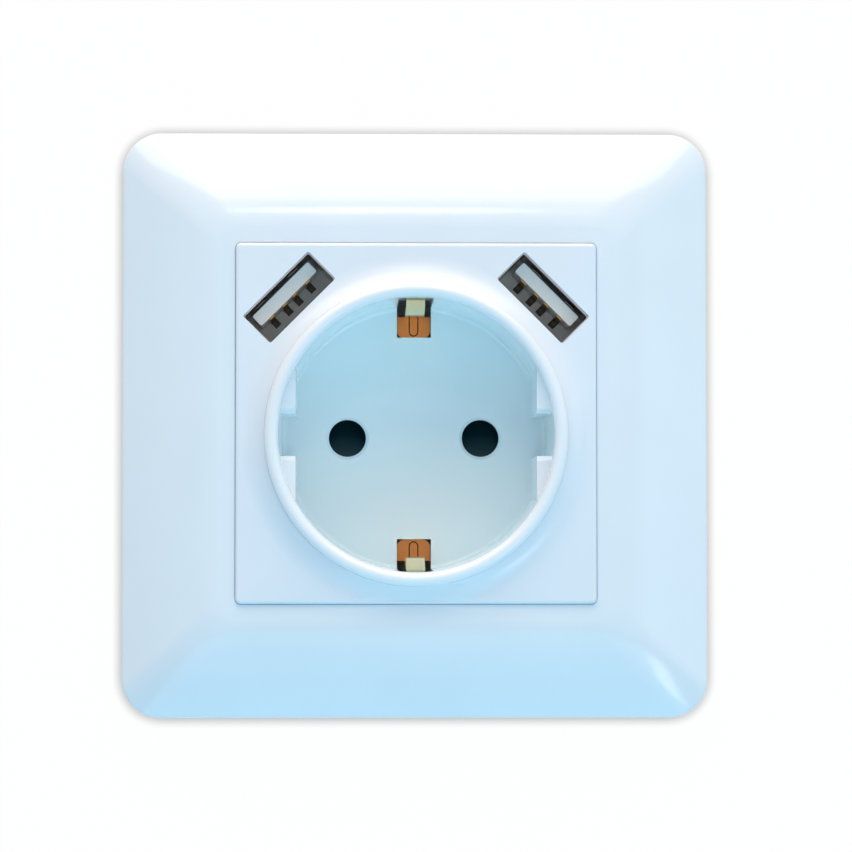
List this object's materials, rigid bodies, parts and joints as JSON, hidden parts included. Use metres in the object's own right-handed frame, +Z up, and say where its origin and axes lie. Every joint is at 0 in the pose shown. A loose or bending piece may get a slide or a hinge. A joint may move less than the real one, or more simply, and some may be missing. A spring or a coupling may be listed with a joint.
{
  "type": "usb wall socket",
  "caption": "Recessed wall socket with a round plug well, side earth clips and slanted USB outlets in a square cover frame.",
  "frame": {"origin": "on the wall's surface, midway between the box screws", "axes": "+Y into the wall, +Z up, +X to the right as seen from the room"},
  "size_m": [0.082, 0.0455, 0.082],
  "materials": {
    "frame_plastic": "glossy moulded white with a cool tint",
    "plate_plastic": "glossy moulded white with a cool tint",
    "well_plastic": "glossy moulded white with a cool tint",
    "housing_plastic": "satin moulded grey",
    "cover_plastic": "satin moulded dark grey",
    "shutter_plastic": "satin moulded, near black",
    "ring_steel": "zinc-plated pressed steel",
    "claw_steel": "yellow zinc-plated pressed steel",
    "screw_steel": "zinc-plated steel",
    "spring_steel": "drawn spring wire",
    "shell_steel": "nickel-plated folded steel",
    "insulator_plastic": "moulded off-white",
    "contact_gold": "gold-plated strip",
    "contact_brass": "folded brass strip",
    "earth_copper": "rolled copper alloy, polished on the clips",
    "board_laminate": "green laminate",
    "ferrite": "sintered ferrite",
    "winding": "yellow tape over a winding",
    "can_aluminium": "sleeved aluminium can",
    "chip_resin": "moulded black resin"
  },
  "bodies": {
    "socket_body": {"cover_frame": "frame_plastic", "centre_plate": "plate_plastic", "socket_well": "well_plastic", "support_ring": "ring_steel", "base_housing": "housing_plastic", "rear_cover": "cover_plastic", "strap_rivets": "screw_steel", "earth_bracket": "earth_copper", "usb_board": "board_laminate", "charger_board": "board_laminate", "header_pins": "contact_gold", "terminal_screws": "screw_steel", "cover_screws": "screw_steel", "controller_chip": "chip_resin", "transformer_core": "ferrite", "transformer_bobbin": "winding", "live_contact": "contact_brass", "neutral_contact": "contact_brass", "live_clamp": "contact_brass", "earth_clamp": "contact_brass", "neutral_clamp": "contact_brass", "input_capacitor": "can_aluminium", "output_capacitor": "can_aluminium", "left_shutter_spring": "spring_steel", "left_claw_pin": "screw_steel", "left_claw_screw": "screw_steel", "left_usb_shell": "shell_steel", "left_usb_insulator": "insulator_plastic", "left_usb_contacts": "contact_gold", "right_shutter_spring": "spring_steel", "right_claw_pin": "screw_steel", "right_claw_screw": "screw_steel", "right_usb_shell": "shell_steel", "right_usb_insulator": "insulator_plastic", "right_usb_contacts": "contact_gold"},
    "shutter": {"pin_shutter": "shutter_plastic"},
    "left_claw": {"left_claw": "claw_steel"},
    "right_claw": {"right_claw": "claw_steel"}
  },
  "joints": [
    {"name": "shutter_slide", "type": "slide", "parent": "socket_body", "child": "shutter", "axis": [0, 0, -1], "range_m": [0, 0.0062], "stiffness_N_per_m": 80, "springref_m": -0.002, "deforming": ["left_shutter_spring", "right_shutter_spring"]},
    {"name": "left_claw_hinge", "type": "hinge", "parent": "socket_body", "child": "left_claw", "pos_m": [-0.027, 0.0136, 0], "axis": [0, 0, 1], "range_deg": [0, 25]},
    {"name": "right_claw_hinge", "type": "hinge", "parent": "socket_body", "child": "right_claw", "pos_m": [0.027, 0.0136, 0], "axis": [0, 0, -1], "range_deg": [0, 25]}
  ]
}
